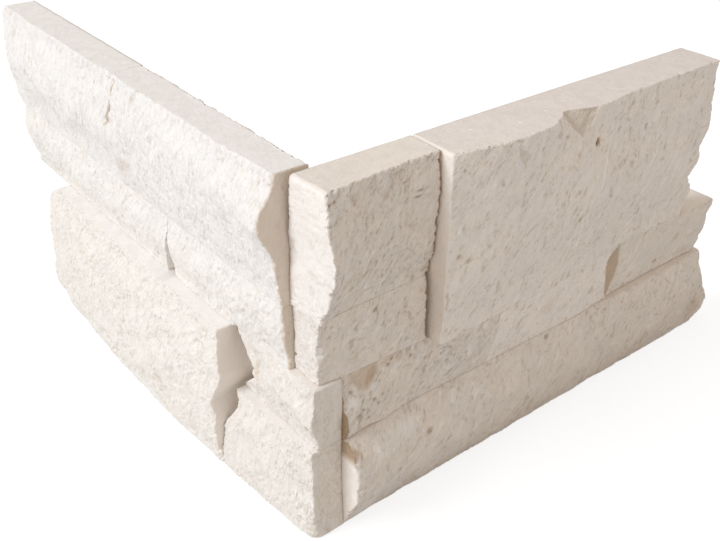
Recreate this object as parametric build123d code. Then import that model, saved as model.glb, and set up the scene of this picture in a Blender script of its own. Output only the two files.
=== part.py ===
from build123d import *

import os
from dataclasses import dataclass, field
from math import ceil, cos, pi, sin

# Corner unit of a stacked stone ledger panel: hewn limestone stones glued bed to bed in an L.
# The inner back corner stands on the Z axis. The right leg runs along +X with its face towards -Y,
# the left leg runs along +Y with its face towards -X. All sizes are in millimetres.

# Course heights, from the floor up
bottom_course_height = 44.45
third_course_height = 28.575
second_course_height = 28.575
top_course_height = 50.8

# How far the stones reach from the inner back corner along the right leg
right_tall_reach = 202.0
right_third_reach = 232.0
right_bottom_reach = 240.0

# How far the stones reach from the inner back corner along the left leg
left_top_reach = 235.5
left_second_reach = 232.0
left_tall_reach = 227.0

# Vertical joints between neighbouring stones, measured from the inner back corner
right_upper_joint = 43.0
right_inner_joint = 77.0
right_outer_joint = 150.0
left_top_joint = 122.0
left_second_joint = 82.0
left_lower_joint = 42.5

# How far the stones that run through the corner pass the inner back corner
top_corner_overlap = 11.2
second_corner_overlap = 10.4
third_corner_overlap = 16.5
bottom_corner_overlap = 16.7

# Open joints left by broken stone ends
third_corner_gap = 7.5
top_crack_width = 2.3

# Hewn face: flat facets of about this size, shifted and tipped a little, on low waves
facet_length = 7.0
facet_height = 5.6
facet_shift = 1.4
facet_tip = 0.4
wave_depth = 0.8
wave_length = 34.0
wave_height = 23.0

# Three-cornered chip in the top edge of the tall right stone: its back corner, its right corner,
# its tip down the face, and the flank that rises from it towards the joint
chip_from_joint = 60.0
chip_back_depth = 18.7
chip_length = 13.6
chip_right_depth = 22.7
chip_tip_shift = 4.0
chip_tip_depth = 24.0
chip_drop = 9.5
chip_flank_length = 13.7
chip_flank_rise = 7.2

# Wedge broken from the foot of the second course beside its joint
wedge_width = 6.5
wedge_rise = 22.0
wedge_floor_depth = 5.0

# Clear room by which a cutting prism passes what it cuts
cut_room = 1.0
deepest_face = 40.0

# Irregular turns and shares that keep neighbouring facets and stones from repeating
golden_turn = 2.4
golden_share = 0.618

course_heights = (bottom_course_height, third_course_height, second_course_height, top_course_height)
BOTTOM, THIRD, SECOND, TOP = range(4)


@dataclass
class Stone:
    """One stone: its courses, its run along the leg, and the depth of its split face.

    depths holds rows of face depth from the lower bed to the upper bed, each row read from start
    to end. start_break and end_break hold (share of height, offset along the leg) for broken ends.
    """
    name: str
    leg: str
    courses: tuple
    start: float
    end: float
    depths: tuple
    start_break: tuple = field(default=((0, 0), (1, 0)))
    end_break: tuple = field(default=((0, 0), (1, 0)))


def bed(course):
    """Height of the bed under a course."""
    return sum(course_heights[:course])


def beds(stone):
    """Heights of a stone's lower and upper bed."""
    return bed(stone.courses[0]), bed(stone.courses[-1] + 1)


def blend(values, share):
    """Smooth value at a share from 0 to 1 of an evenly spaced row of values."""
    spot = min(max(share, 0.0), 1.0) * (len(values) - 1)
    index = min(int(spot), len(values) - 2)
    eased = (1 - cos(pi * (spot - index))) / 2
    return values[index] + (values[index + 1] - values[index]) * eased


def scatter(number):
    """Irregular value from -1 to 1 for a counting number."""
    return 2 * (number * golden_share % 1) - 1


def in_leg(stone, along, depth, height):
    """Point of a stone given along its leg, out from its back and up from the floor."""
    if stone.leg == "right":
        return Vector(along, -depth, height)
    return Vector(-depth, along, height)


def face_depth(stone, phase, along, height):
    """Depth of the hewn face at one place. Its low waves die out at the beds."""
    low, high = beds(stone)
    height_share = (height - low) / (high - low)
    along_share = (along - stone.start) / (stone.end - stone.start)
    plain = blend([blend(row, along_share) for row in stone.depths], height_share)
    wave = sin(2 * pi * along / wave_length + phase) * cos(2 * pi * height / wave_height + phase)
    return plain + wave_depth * wave * sin(pi * height_share)


def face_grid(stone, phase):
    """Corners of the facets, in columns along the leg, each from the lower bed to the upper."""
    low, high = beds(stone)
    first = stone.start + min(offset for _, offset in stone.start_break)
    last = stone.end + max(offset for _, offset in stone.end_break)
    columns, rows = ceil((last - first) / facet_length), ceil((high - low) / facet_height)
    grid = []
    for column in range(columns + 1):
        points = []
        for row in range(rows + 1):
            number = column * (rows + 1) + row
            along = first + (last - first) * column / columns
            height = low + (high - low) * row / rows
            tip = 0.0
            if 0 < column < columns and 0 < row < rows:
                along += facet_shift * scatter(number)
                height += facet_shift * scatter(number * number)
                tip = facet_tip * scatter(number * number + number)
            points.append(in_leg(stone, along, face_depth(stone, phase, along, height) + tip, height))
        grid.append(points)
    return grid


def polygon(*points):
    """Flat face with straight edges."""
    return Face(Wire.make_polygon(points))


def facets(grid):
    """Two flat triangles for each cell of the grid, split one way and then the other."""
    faces = []
    for column, (near, far) in enumerate(zip(grid, grid[1:])):
        for row in range(len(near) - 1):
            ring = [near[row], far[row], far[row + 1], near[row + 1]]
            if (column + row) % 2:
                ring = ring[1:] + ring[:1]
            faces.append(polygon(ring[0], ring[1], ring[2]))
            faces.append(polygon(ring[0], ring[2], ring[3]))
    return faces


def hewn_block(stone, phase):
    """Closed block with a straight sawn back, two sawn beds, two square ends and the hewn face."""
    grid = face_grid(stone, phase)

    def on_back(point):
        if stone.leg == "right":
            return Vector(point.X, 0, point.Z)
        return Vector(0, point.Y, point.Z)

    low_start, high_start = on_back(grid[0][0]), on_back(grid[0][-1])
    low_end, high_end = on_back(grid[-1][0]), on_back(grid[-1][-1])
    back = polygon(low_start, low_end, high_end, high_start)
    low_bed = polygon(low_start, *[column[0] for column in grid], low_end)
    high_bed = polygon(high_start, *[column[-1] for column in grid], high_end)
    ends = [polygon(low_start, *grid[0], high_start), polygon(low_end, *grid[-1], high_end)]
    return Solid(Shell(facets(grid) + [back, low_bed, high_bed] + ends))


def end_prism(stone):
    """Prism through the stone whose ends follow the broken end lines."""
    low, high = beds(stone)

    def line(reach, breaks):
        spots = [(reach + offset, low + share * (high - low)) for share, offset in breaks]
        first, last = spots[0], spots[-1]
        return [(first[0], low - cut_room)] + spots + [(last[0], high + cut_room)]

    outline = line(stone.start, stone.start_break) + line(stone.end, stone.end_break)[::-1]
    corners = [in_leg(stone, along, -cut_room, height) for along, height in dict.fromkeys(outline)]
    return Solid.extrude(polygon(*corners), in_leg(stone, 0, deepest_face, 0))


def hew(stone, phase):
    """The whole stone: the hewn block, broken off at its ends where they aren't square."""
    block = hewn_block(stone, phase)
    broken = any(offset for _, offset in stone.start_break + stone.end_break)
    return block & end_prism(stone) if broken else block


def edge_chip():
    """Three-cornered chip split from the top edge of the tall right stone."""
    top = bed(TOP + 1)
    start = right_upper_joint + chip_from_joint
    back = Vector(start, -chip_back_depth, top)
    right = Vector(start + chip_length, -chip_right_depth, top)
    tip = Vector(start + chip_tip_shift, -chip_tip_depth, top - chip_drop)
    past_top = 1 + cut_room / chip_drop
    corners = [tip, tip + (back - tip) * past_top, tip + (right - tip) * past_top]
    return Solid.extrude(polygon(*corners), Vector(-chip_flank_length, -chip_flank_rise, 0) * 2)


def joint_wedge():
    """Wedge missing from the foot of the outer second-course stone beside its joint."""
    foot = bed(SECOND)
    depth = -wedge_floor_depth
    corners = [
        Vector(depth, left_second_joint - cut_room, foot - cut_room),
        Vector(depth, left_second_joint + wedge_width, foot - cut_room),
        Vector(depth, left_second_joint, foot + wedge_rise),
        Vector(depth, left_second_joint - cut_room, foot + wedge_rise),
    ]
    return Solid.extrude(polygon(*corners), Vector(-deepest_face, 0, 0))


# Broken lines that two neighbours share, as (share of height, offset from their joint)
right_outer_break = ((0, 7.0), (0.19, 4.3), (0.37, 1.5), (0.56, 0.4),
                     (0.72, 1.0), (0.86, 2.5), (0.95, 5.5), (1, 9.0))
left_top_break = ((0, 1.0), (0.56, 0), (0.67, -3.4), (0.77, -6.1),
                  (0.87, -6.3), (0.95, -3.6), (1, -2.8))
left_top_crack = ((0, 1.0), (0.56, 0), (0.77, -6.1 + top_crack_width),
                  (0.87, -6.3 + top_crack_width), (0.95, -3.6), (1, -2.8))

right_stones = [
    Stone("right_top_corner_stone", "right", (TOP,), -top_corner_overlap, right_upper_joint,
          ((17.5, 14.8, 14.0, 14.0, 14.0),
           (23.2, 19.5, 17.0, 16.0, 16.0),
           (27.2, 22.6, 18.8, 17.6, 17.4),
           (22.6, 19.8, 17.6, 17.0, 16.8),
           (19.2, 17.6, 16.2, 16.2, 16.4)),
          start_break=((0, 0), (0.8, 0.3), (1, 1.2))),
    Stone("right_second_corner_stone", "right", (SECOND,), -second_corner_overlap, right_upper_joint,
          ((13.8, 15.2, 15.4, 15.8),
           (14.2, 15.8, 16.0, 15.8),
           (14.8, 14.6, 14.6, 14.6)),
          end_break=((0, -0.8), (0.2, -1.6), (0.6, -1.9), (0.9, -1.4), (1, -1.2))),
    Stone("right_tall_stone", "right", (SECOND, TOP), right_upper_joint, right_tall_reach,
          ((22.6, 21.4, 20.8, 19.4, 15.8, 15.2, 14.2),
           (22.4, 24.7, 25.8, 25.5, 24.0, 21.5, 19.5),
           (21.8, 25.8, 25.2, 22.4, 20.6, 20.2, 19.8)),
          end_break=((0, 3.7), (0.05, 6.0), (0.11, 7.6), (0.17, 6.0), (0.23, 2.8),
                     (0.289, -1.2), (0.34, 3.2), (0.49, -0.8),
                     (0.579, 5.0), (0.768, 1.5), (1, 0))),
    Stone("right_third_inner_stone", "right", (THIRD,), 0.0, right_inner_joint,
          ((17.2, 16.0, 15.0, 15.0, 15.3),
           (20.0, 17.8, 17.0, 17.4, 17.8),
           (18.8, 17.6, 17.6, 19.0, 19.6),
           (16.4, 16.4, 17.0, 20.4, 20.8),
           (14.9, 15.2, 15.7, 21.2, 21.0))),
    Stone("right_third_middle_stone", "right", (THIRD,), right_inner_joint, right_outer_joint,
          ((15.3, 15.2, 15.5, 14.0),
           (19.4, 19.2, 18.0, 17.0),
           (20.8, 20.4, 19.0, 15.6)),
          end_break=right_outer_break),
    Stone("right_third_outer_stone", "right", (THIRD,), right_outer_joint, right_third_reach,
          ((13.0, 12.4, 12.2),
           (12.4, 12.8, 13.2),
           (13.4, 14.0, 15.2)),
          start_break=right_outer_break,
          end_break=((0, -3.0), (0.2, -0.5), (0.7, 0), (0.96, 3.0), (1, 2.5))),
    Stone("right_bottom_long_stone", "right", (BOTTOM,), 0.0, right_bottom_reach,
          ((16.6, 16.6, 16.5, 16.3, 16.1, 16.3, 16.0),
           (21.4, 20.2, 19.4, 19.0, 18.8, 18.6, 16.4),
           (25.6, 22.2, 20.8, 20.2, 19.8, 19.4, 16.8),
           (27.2, 22.4, 20.8, 20.2, 19.8, 19.4, 16.8),
           (26.4, 20.0, 18.6, 18.2, 18.2, 18.0, 16.2),
           (19.4, 14.8, 14.9, 15.1, 16.0, 15.9, 14.4)),
          end_break=((0, -5.0), (0.07, 3.0), (0.23, 6.0), (0.46, 0), (0.86, -8.8), (1, -8.0))),
]

left_stones = [
    Stone("left_top_inner_stone", "left", (TOP,), 0.0, left_top_joint,
          ((13.9, 14.0, 14.0, 14.0),
           (15.2, 15.4, 15.5, 15.5),
           (16.3, 16.8, 17.0, 17.0),
           (17.3, 17.8, 17.8, 18.0),
           (19.6, 18.8, 18.5, 18.8),
           (22.6, 19.4, 18.8, 18.7),
           (22.6, 19.4, 18.6, 18.2),
           (15.3, 16.8, 17.2, 17.0),
           (14.2, 15.4, 15.5, 15.5)),
          start_break=((0, 0), (0.5, 0.3), (1, 2.6)),
          end_break=left_top_break),
    Stone("left_top_outer_stone", "left", (TOP,), left_top_joint, left_top_reach,
          ((14.0, 14.0, 14.0, 14.0),
           (19.0, 20.0, 19.5, 17.5),
           (15.5, 15.5, 15.5, 15.0)),
          start_break=left_top_crack,
          end_break=((0, -5.0), (0.03, -1.0), (0.1, 1.5), (0.3, 0.5), (0.5, 1.0), (0.7, 0.5),
                     (0.8, 2.2), (0.87, 2.8), (0.95, 0.5), (1, -2.5))),
    Stone("left_second_inner_stone", "left", (SECOND,), 0.0, left_second_joint,
          ((11.4, 13.4, 13.3, 13.2),
           (14.0, 15.6, 15.8, 15.6),
           (14.7, 14.2, 14.1, 14.1))),
    Stone("left_second_outer_stone", "left", (SECOND,), left_second_joint, left_second_reach,
          ((13.2, 13.2, 13.2, 13.2),
           (15.6, 16.2, 16.0, 15.0),
           (14.1, 14.1, 14.1, 14.0)),
          end_break=((0, -9.0), (0.35, -2.5), (0.7, 4.0), (1, 0))),
    Stone("left_tall_stone", "left", (BOTTOM, THIRD), left_lower_joint, left_tall_reach,
          ((19.6, 22.0, 22.0, 20.0, 16.0),
           (22.8, 24.6, 24.4, 22.6, 16.2),
           (24.2, 25.0, 24.6, 23.2, 16.5),
           (23.4, 23.8, 23.4, 22.4, 16.2),
           (20.3, 20.3, 20.4, 20.2, 15.5)),
          start_break=((0, 0), (0.12, 0), (0.2, -1.5), (0.35, -3.0), (0.52, -2.5),
                       (0.62, -6.5), (0.73, -9.0), (1, -4.5)),
          end_break=((0, -6.0), (0.05, -2.3), (0.3, -7.6), (0.47, -11.2), (0.77, -18.6),
                     (0.86, -23.5), (0.92, -28.2), (1, -38.0))),
    Stone("left_third_corner_stone", "left", (THIRD,), -third_corner_overlap,
          left_lower_joint - third_corner_gap,
          ((11.4, 11.2, 11.2),
           (14.0, 14.6, 14.0),
           (12.6, 12.8, 12.6)),
          end_break=((0, 0), (0.06, -1.5), (0.42, -12.0), (0.58, -11.0), (0.75, -6.0), (1, 0))),
    Stone("left_bottom_corner_stone", "left", (BOTTOM,), -bottom_corner_overlap, left_lower_joint,
          ((14.2, 16.3, 17.0, 18.4, 19.3),
           (14.4, 17.0, 18.4, 19.0, 19.4),
           (13.4, 17.4, 18.6, 18.8, 18.6),
           (13.6, 16.6, 17.6, 17.4, 17.2),
           (14.0, 15.0, 15.2, 15.2, 15.2)),
          start_break=((0, -1.4), (0.3, -0.6), (0.6, 0), (1, 0)),
          end_break=((0, 0), (0.19, 0), (0.33, -1.6), (0.5, -2.7), (0.58, -3.6), (0.7, -7.0),
                     (0.81, -9.8), (0.9, -10.5), (1, -8.3))),
]

cuts = {
    "right_tall_stone": edge_chip,
    "left_second_outer_stone": joint_wedge,
}

os.makedirs("parts", exist_ok=True)
for number, stone in enumerate(right_stones + left_stones):
    solid = hew(stone, number * golden_turn)
    if stone.name in cuts:
        solid = solid - cuts[stone.name]()
    export_step(solid, f"parts/{stone.name}.step")
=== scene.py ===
"""Corner unit of a stacked stone ledger panel: the finish of each hewn limestone stone, its stage and view."""

from dataclasses import dataclass, field
from math import cos, pi, radians, sin

import bmesh
import bpy
import numpy as np
from mathutils import Matrix, Vector
from mathutils.bvhtree import BVHTree

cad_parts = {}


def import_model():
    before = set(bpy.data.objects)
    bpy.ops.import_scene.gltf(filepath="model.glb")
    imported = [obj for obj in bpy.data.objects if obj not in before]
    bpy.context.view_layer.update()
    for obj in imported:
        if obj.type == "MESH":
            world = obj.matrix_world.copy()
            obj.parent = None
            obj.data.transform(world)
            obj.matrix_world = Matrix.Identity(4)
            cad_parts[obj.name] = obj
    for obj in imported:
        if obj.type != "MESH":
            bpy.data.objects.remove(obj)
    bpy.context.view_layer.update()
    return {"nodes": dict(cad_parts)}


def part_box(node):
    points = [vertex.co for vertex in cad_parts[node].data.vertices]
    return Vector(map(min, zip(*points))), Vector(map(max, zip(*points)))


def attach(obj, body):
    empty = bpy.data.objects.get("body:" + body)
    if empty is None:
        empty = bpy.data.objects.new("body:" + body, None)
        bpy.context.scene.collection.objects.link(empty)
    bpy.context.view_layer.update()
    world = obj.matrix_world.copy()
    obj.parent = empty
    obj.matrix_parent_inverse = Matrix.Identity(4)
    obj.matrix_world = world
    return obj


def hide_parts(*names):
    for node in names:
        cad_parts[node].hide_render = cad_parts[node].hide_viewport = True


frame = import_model()

# Lengths in this script are in millimetres, along the leg (u), out from the wall (d) and up (z).
MM = 0.001

# Mesh: mean spacing of the front's grid, the fewest rows up a stone, rows from the wall to the face,
# rows of a bed's fine strip, and how much the rows crowd towards the beds and the arrises
GRID = 0.5
LEAST_ROWS = 12
DEPTH_ROWS = 22
STRIP_ROWS = 3
BED_CROWDING = 0.35
ARRIS_CROWDING = 1.7

# Reading the solids: how far inside the edges the rays run, the depth of the ray along a leg, how far
# off rays start, the depth taken before a first hit, and the least depth of a face
INSIDE = 0.06
INSIDE_END = 0.4
BACK_RAY_DEPTH = 3.0
FAR = 400.0
USUAL_DEPTH = 15.0
LEAST_DEPTH = 2.0

# The solids' facets are softened over this radius, except at cuts deeper than this, and the ends' edges
# over this many rows
FACET_SOFTENING = 1.8
CUT_DEPTH = 0.9
EDGE_SOFTENING = 3.0

# Faces that meet across a joint with a smaller step than this are drawn together over this reach, with
# the step softened over so many rows, and the neighbour's face is read this far beyond the joint
FLUSH_STEP = 1.3
DRAWN_REACH = 7.0
STEP_SOFTENING = 2.0
PEEK = 0.4

# Lengths and heights of the hewn relief: the bends that distort the rest, low swells, flakes along the
# strokes, chatter on them, patches that are rougher than the rest, and holes
BEND = 9.0
SWELL = 15.0, 13.0
FLAKE = 6.5, 3.6
CHATTER = 2.8, 1.4
PATCH = 22.0, 18.0
HOLE = 2.6, 1.6

# Lengths of the wear on edges: nicks and chips at the beds, worn and bitten corners at the ends, and
# the nibbled back edge of a top. Marks have edges that wander over this length by this share.
NICK = 3.1
CHIP = 9.0
WORN = 3.6
BITTEN = 4.2
NIBBLED = 5.0
MARK_WANDER = 2.2, 0.35

# How far apart the stones, their two ends and their two edges read the noise, so that they differ
SHIFT_BY_STONE = 37.0
SHIFT_BY_END = 60.0
SHIFT_BY_EDGE = 100.0

# A darkening under the top of an end reaches down this far and fades over this height
TOP_DARKENING_REACH = 9.0
TOP_DARKENING_FADE = 4.0


class Noise:
    """Random relief over a plane, the same on every run."""

    SIZE = 256

    def __init__(self, seed):
        random = np.random.default_rng(seed)
        turns = random.random((self.SIZE, self.SIZE)) * 2 * pi
        self.slopes = np.cos(turns), np.sin(turns)
        self.chances = random.random((4, self.SIZE, self.SIZE))

    def smooth(self, x, y):
        """Bumps and hollows about one unit apart, from about -1 to 1."""
        left, low = np.floor(x).astype(int), np.floor(y).astype(int)
        across, up = x - left, y - low

        def corner(right, above):
            cell = (left + right) % self.SIZE, (low + above) % self.SIZE
            return self.slopes[0][cell] * (across - right) + self.slopes[1][cell] * (up - above)

        ease_x = across ** 3 * (across * (across * 6 - 15) + 10)
        ease_y = up ** 3 * (up * (up * 6 - 15) + 10)
        below = corner(0, 0) + (corner(1, 0) - corner(0, 0)) * ease_x
        top = corner(0, 1) + (corner(1, 1) - corner(0, 1)) * ease_x
        return 1.5 * (below + (top - below) * ease_y)

    def layers(self, x, y, count, share=0.5):
        """Smooth relief with finer relief on it."""
        total, size = 0.0, 1.0
        for layer in range(count):
            total = total + size * self.smooth(x * 2 ** layer + 31.7 * layer, y * 2 ** layer + 17.3 * layer)
            size *= share
        return total

    def pits(self, x, y, chance):
        """Round pits, one at most in each unit cell: 0 outside them and 1 at their floors."""
        left, low = np.floor(x).astype(int), np.floor(y).astype(int)
        deepest = np.zeros_like(x)
        for right in (-1, 0, 1):
            for above in (-1, 0, 1):
                cell = (left + right) % self.SIZE, (low + above) % self.SIZE
                place_x, place_y, size, luck = (values[cell] for values in self.chances)
                gap = np.hypot(x - left - right - place_x, y - low - above - place_y)
                depth = np.clip(1 - (gap / (0.2 + 0.3 * size)) ** 2, 0, 1) * (0.5 + 0.5 * size)
                deepest = np.maximum(deepest, np.where(luck < chance, depth, 0))
        return deepest


def turned(x, y, angle):
    """Coordinates turned by an angle in degrees."""
    c, s = cos(radians(angle)), sin(radians(angle))
    return x * c + y * s, y * c - x * s


def softened(values, radius, axis):
    """Values smoothed along one axis, with slopes kept up to the edges. The radius is in rows."""
    values = np.moveaxis(values, axis, 0)
    reach = min(int(3 * radius) + 1, len(values) - 1)
    padded = np.pad(values, ((reach, reach), (0, 0)), mode="reflect", reflect_type="odd")
    weights = np.exp(-0.5 * (np.arange(-reach, reach + 1) / radius) ** 2)
    weights /= weights.sum()
    total = sum(weight * padded[row:row + len(values)] for row, weight in enumerate(weights))
    return np.moveaxis(total, 0, axis)


def softened_row(values, radius):
    """One row of values smoothed over a radius in steps of the row."""
    return softened(values[None], radius, 1)[0]


def rounding(distance, radius):
    """How far a surface falls back near an edge rounded to a radius."""
    share = np.clip(1 - distance / radius, 0, 1)
    return radius * (1 - np.sqrt(1 - share ** 2))


def within(u, z, corners):
    """How far inside an outline each place lies, and less than zero outside it."""
    gap, inside = np.full(u.shape, np.inf), np.zeros(u.shape, bool)
    for (u0, z0), (u1, z1) in zip(corners, corners[1:] + corners[:1]):
        du, dz = u1 - u0, z1 - z0
        share = np.clip(((u - u0) * du + (z - z0) * dz) / (du * du + dz * dz), 0, 1)
        gap = np.minimum(gap, np.hypot(u - u0 - share * du, z - z0 - share * dz))
        inside ^= ((z0 > z) != (z1 > z)) & (u < u0 + (z - z0) * du / (dz or 1e-9))
    return np.where(inside, gap, -gap)


@dataclass(frozen=True)
class End:
    """How one end of a stone looks: its shape in millimetres, and its colour as shares from 0 to 1.

    rough is the strength of its relief, gap how far it stays short of the solid's end, bite the depth
    of the corner's chips to the wear, and seam the stain on the top beside it. Its brown tint and
    darkening are painted shade, on ends in shade and in cracks, and its paleness is painted light, on
    lit ends and on shaded ends that bounce light would brighten; it can also be darkened just under its
    top. A joined end has a neighbour whose face it runs into.
    """
    rough: float = 0.0
    gap: float = 0.0
    front_round: tuple = (0.12, 0.12, 0.12)
    front_wear: float = 0.05
    top_round: float = 0.12
    foot_round: float = 0.05
    sawn: float = 0.85
    # Painted shade (brown tint, darkening) and painted light (paleness) of the end face
    stain: float = 0.0
    top_darkening: float = 0.0
    dark: float = 0.0
    pale: float = 0.0
    bite: float = 0.9
    seam: float = 0.0
    joined: bool = False


@dataclass
class Finish:
    """How one stone looks.

    Marks hold (u, z, length, height, turn, strength) on its face for each kind. Outlines are
    (corners, {kind: (strength, slope)}), full at the slope's length inside the corners. The sawn top has
    top_shade as a share of the tint, times top_fade: an axis, its first and last place in metres, and
    the shares there.
    """
    tint: tuple
    start: End
    end: End
    swell: float = 0.5
    strokes: float = 0.2
    stroke_turn: float = 55.0
    pitting: float = 0.3
    flecks: float = 0.5
    wear: float = 0.5
    back_wear: float = 0.12
    top_shade: tuple = (0.96, 0.96, 0.96)
    bed_gaps: tuple = (0.015, 0.015)
    open_top: bool = False
    top_fade: tuple = ("X", 0.0, 1.0, 1.0, 1.0)
    marks: dict = field(default_factory=dict)
    outlines: tuple = ()


def tree_of(names):
    """Search tree over the faces of some of the frame's solids."""
    places, faces = [], []
    for name in names:
        node = frame["nodes"][name].data
        faces += [tuple(len(places) + corner for corner in face.vertices) for face in node.polygons]
        places += [vertex.co / MM for vertex in node.vertices]
    return BVHTree.FromPolygons(places, faces)


class Stone:
    """The shape of one stone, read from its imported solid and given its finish."""

    def __init__(self, name, finish, seed):
        self.name, self.finish, self.noise = name, finish, Noise(seed)
        self.right = name.startswith("right")
        self.shift = SHIFT_BY_STONE * seed
        low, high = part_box(name)
        self.low, self.high = low.z / MM, high.z / MM
        self.tree = tree_of([name])

    def world(self, u, d, z):
        """Places in the frame for coordinates along the leg."""
        u, d, z = np.broadcast_arrays(u, d, z)
        return np.stack([u, -d, z] if self.right else [-d, u, z], axis=-1)

    def reach(self, z, side):
        """Where the solid starts (side -1) or ends (side 1) at each height."""
        origins = self.world(np.full_like(z, side * FAR), BACK_RAY_DEPTH, z)
        ray = Vector(self.world(np.array(-side), np.array(0), np.array(0)).tolist())
        hits = [self.tree.ray_cast(Vector(origin), ray)[0] for origin in origins.tolist()]
        return np.array([hit[0] if self.right else hit[1] for hit in hits])

    def face(self, u, z, tree=None):
        """Depth of the solid's face at each place, or of any solid in another tree, with 0 for none."""
        origins = self.world(u, FAR, z).reshape(-1, 3)
        ray = Vector(self.world(np.array(0), np.array(-1), np.array(0)).tolist())
        depths, last = [], USUAL_DEPTH
        for origin in origins.tolist():
            hit = (tree or self.tree).ray_cast(Vector(origin), ray)[0]
            if hit is not None:
                last = -hit[1] if self.right else -hit[0]
            elif tree:
                last = 0.0
            depths.append(last)
        return np.array(depths).reshape(u.shape)

    def drawn_together(self, depth, u, z):
        """Face drawn to its neighbours' where they are nearly flush, and how exposed the beds' edges are."""
        exposed, calm = [], np.ones_like(depth)
        sides = [(depth[:, 0], u[:, 0], self.low - PEEK, z - self.low, 1),
                 (depth[:, -1], u[:, -1], self.high + PEEK, self.high - z, 1)]
        if self.finish.start.joined:
            sides.append((depth[0], u[0] - PEEK, z[0], u - u[0], 0))
        if self.finish.end.joined:
            sides.append((depth[-1], u[-1] + PEEK, z[-1], u[-1] - u, 0))
        pull = 0.0
        for edge, across_u, across_z, gap, bed in sides:
            beyond = self.face(across_u, np.broadcast_to(across_z, across_u.shape), panel)
            step = softened_row(beyond - edge, STEP_SOFTENING)
            flush = softened_row(np.clip(2 - np.abs(beyond - edge) / FLUSH_STEP, 0, 1), STEP_SOFTENING)
            flush = np.clip(flush, 0, 1)
            fall = np.clip(1 - gap / DRAWN_REACH, 0, 1) ** 2
            if bed:
                exposed.append(1 - flush)
                step, flush = step[:, None], flush[:, None]
            pull = pull + 0.5 * step * flush * fall
            calm = calm * (1 - 0.8 * flush * fall)
        return depth + pull, calm, exposed

    def mark(self, u, z, kind):
        """Strength from 0 to 1 of the marks of one kind at each place of the face."""
        total = np.zeros_like(u)
        size, share = MARK_WANDER
        warp = share * self.noise.layers(u / size + 5, z / size, 2)
        for mark_u, mark_z, length, height, turn, strength in self.finish.marks.get(kind, ()):
            along, up = turned(u - mark_u, z - mark_z, turn)
            gap = np.hypot(along / length, up / height) + warp
            total = np.maximum(total, strength * np.clip(1.6 * (1 - gap), 0, 1))
        for corners, kinds in self.finish.outlines:
            if kind in kinds:
                strength, slope = kinds[kind]
                depth = within(u + warp, z - warp, corners) / slope
                total = np.maximum(total, strength * np.clip(depth, 0, 1))
        return total

    def relief(self, u, z):
        """Hewn relief of the face and how hollow it is: swells, flaked strokes, pits and marks."""
        finish, noise = self.finish, self.noise
        x, y = u + self.shift, z + self.shift
        bend = noise.layers(x / BEND, y / BEND, 2)
        swell = finish.swell * noise.layers(x / SWELL[0], y / SWELL[1], 2)
        along, up = turned(x, y, finish.stroke_turn)
        flakes = 0.3 - np.abs(noise.layers(along / FLAKE[0] + bend, up / FLAKE[1] + bend, 3, 0.55))
        chatter = noise.layers(along / CHATTER[0] - bend, up / CHATTER[1] + 0.6 * bend, 2, 0.6)
        chatter = 0.25 - np.abs(chatter)
        patch = np.clip(0.35 + 1.2 * noise.smooth(x / PATCH[0] + 9, y / PATCH[1]), 0, 1)
        holes = noise.pits(along / HOLE[0] + 0.7 * bend, up / HOLE[1] + 0.7 * bend, finish.pitting * patch)
        calm = 1 - 0.95 * self.mark(u, z, "smooth")
        rough = self.mark(u, z, "rough")
        pit = self.mark(u, z, "pit")
        fine = calm * (1 + 0.9 * rough) * finish.strokes * (1.5 * flakes + 0.9 * (0.4 + patch) * chatter)
        dug = calm * 0.4 * holes + 1.1 * pit
        # Painted shade: the recesses between flakes and the holes are also darkened in the colour
        shaded = np.clip(-1.3 * (flakes + 0.6 * chatter) - 0.35, 0, 0.7)
        hollow = calm * (0.55 * holes + shaded) + 1.6 * pit
        hollow = hollow + self.mark(u, z, "dark")
        raised = 0.7 * self.mark(u, z, "ridge") - self.mark(u, z, "scoop")
        return swell + fine - dug + raised, np.clip(hollow, 0, 1)

    def end_shift(self, end, d, z, depth):
        """How far an end face falls back inwards from the solid's end, and how hollow it is."""
        relief, hollow = self.relief(d - FAR, z)
        y = z + self.shift
        worn = np.clip(0.15 + 0.8 * self.noise.layers(y / WORN, y / 40 + 3, 4, 0.75), 0, 1.5)
        height = (z - self.low) / (self.high - self.low)
        front = np.interp(height, (0.08, 0.3, 0.7, 0.95), [end.front_round[k] for k in (0, 1, 1, 2)])
        fall = rounding(depth - d, front + end.front_wear * worn)
        fall = fall + rounding(self.high - z, end.top_round) + rounding(z - self.low, end.foot_round)
        return end.gap + 0.8 * end.rough * np.clip(0.7 - relief, 0, None) + fall, hollow

    def arris(self, u, row, exposed):
        """Depth worn off the face's edge at a bed, and how far the edge falls short of the bed."""
        x = u + self.shift + SHIFT_BY_EDGE * row
        nicks = np.clip(self.noise.layers(x / NICK, x / 50 + row, 3, 0.6) - 0.25, 0, 1)
        chips = np.clip(self.noise.smooth(x / CHIP, x / 70 + 5 + row) - 0.45, 0, 1)
        worn = 0.12 + exposed * (0.3 + self.finish.wear * (0.6 * nicks + 2.2 * chips))
        worn = worn * (1 - 0.85 * self.mark(u, np.full_like(u, (self.low, self.high)[row]), "smooth"))
        gap = self.finish.bed_gaps[row]
        return worn + 2 * gap, gap + 0.3 * exposed * self.finish.wear * (nicks + chips)

    def bitten(self, end, heights, row):
        """Depth bitten off the face's corner at an end."""
        bites = self.noise.layers(heights / BITTEN + row, heights / 50 + row, 3, 0.65)
        return end.bite * end.front_wear * np.clip(0.1 + bites, 0, 1.5)

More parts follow.
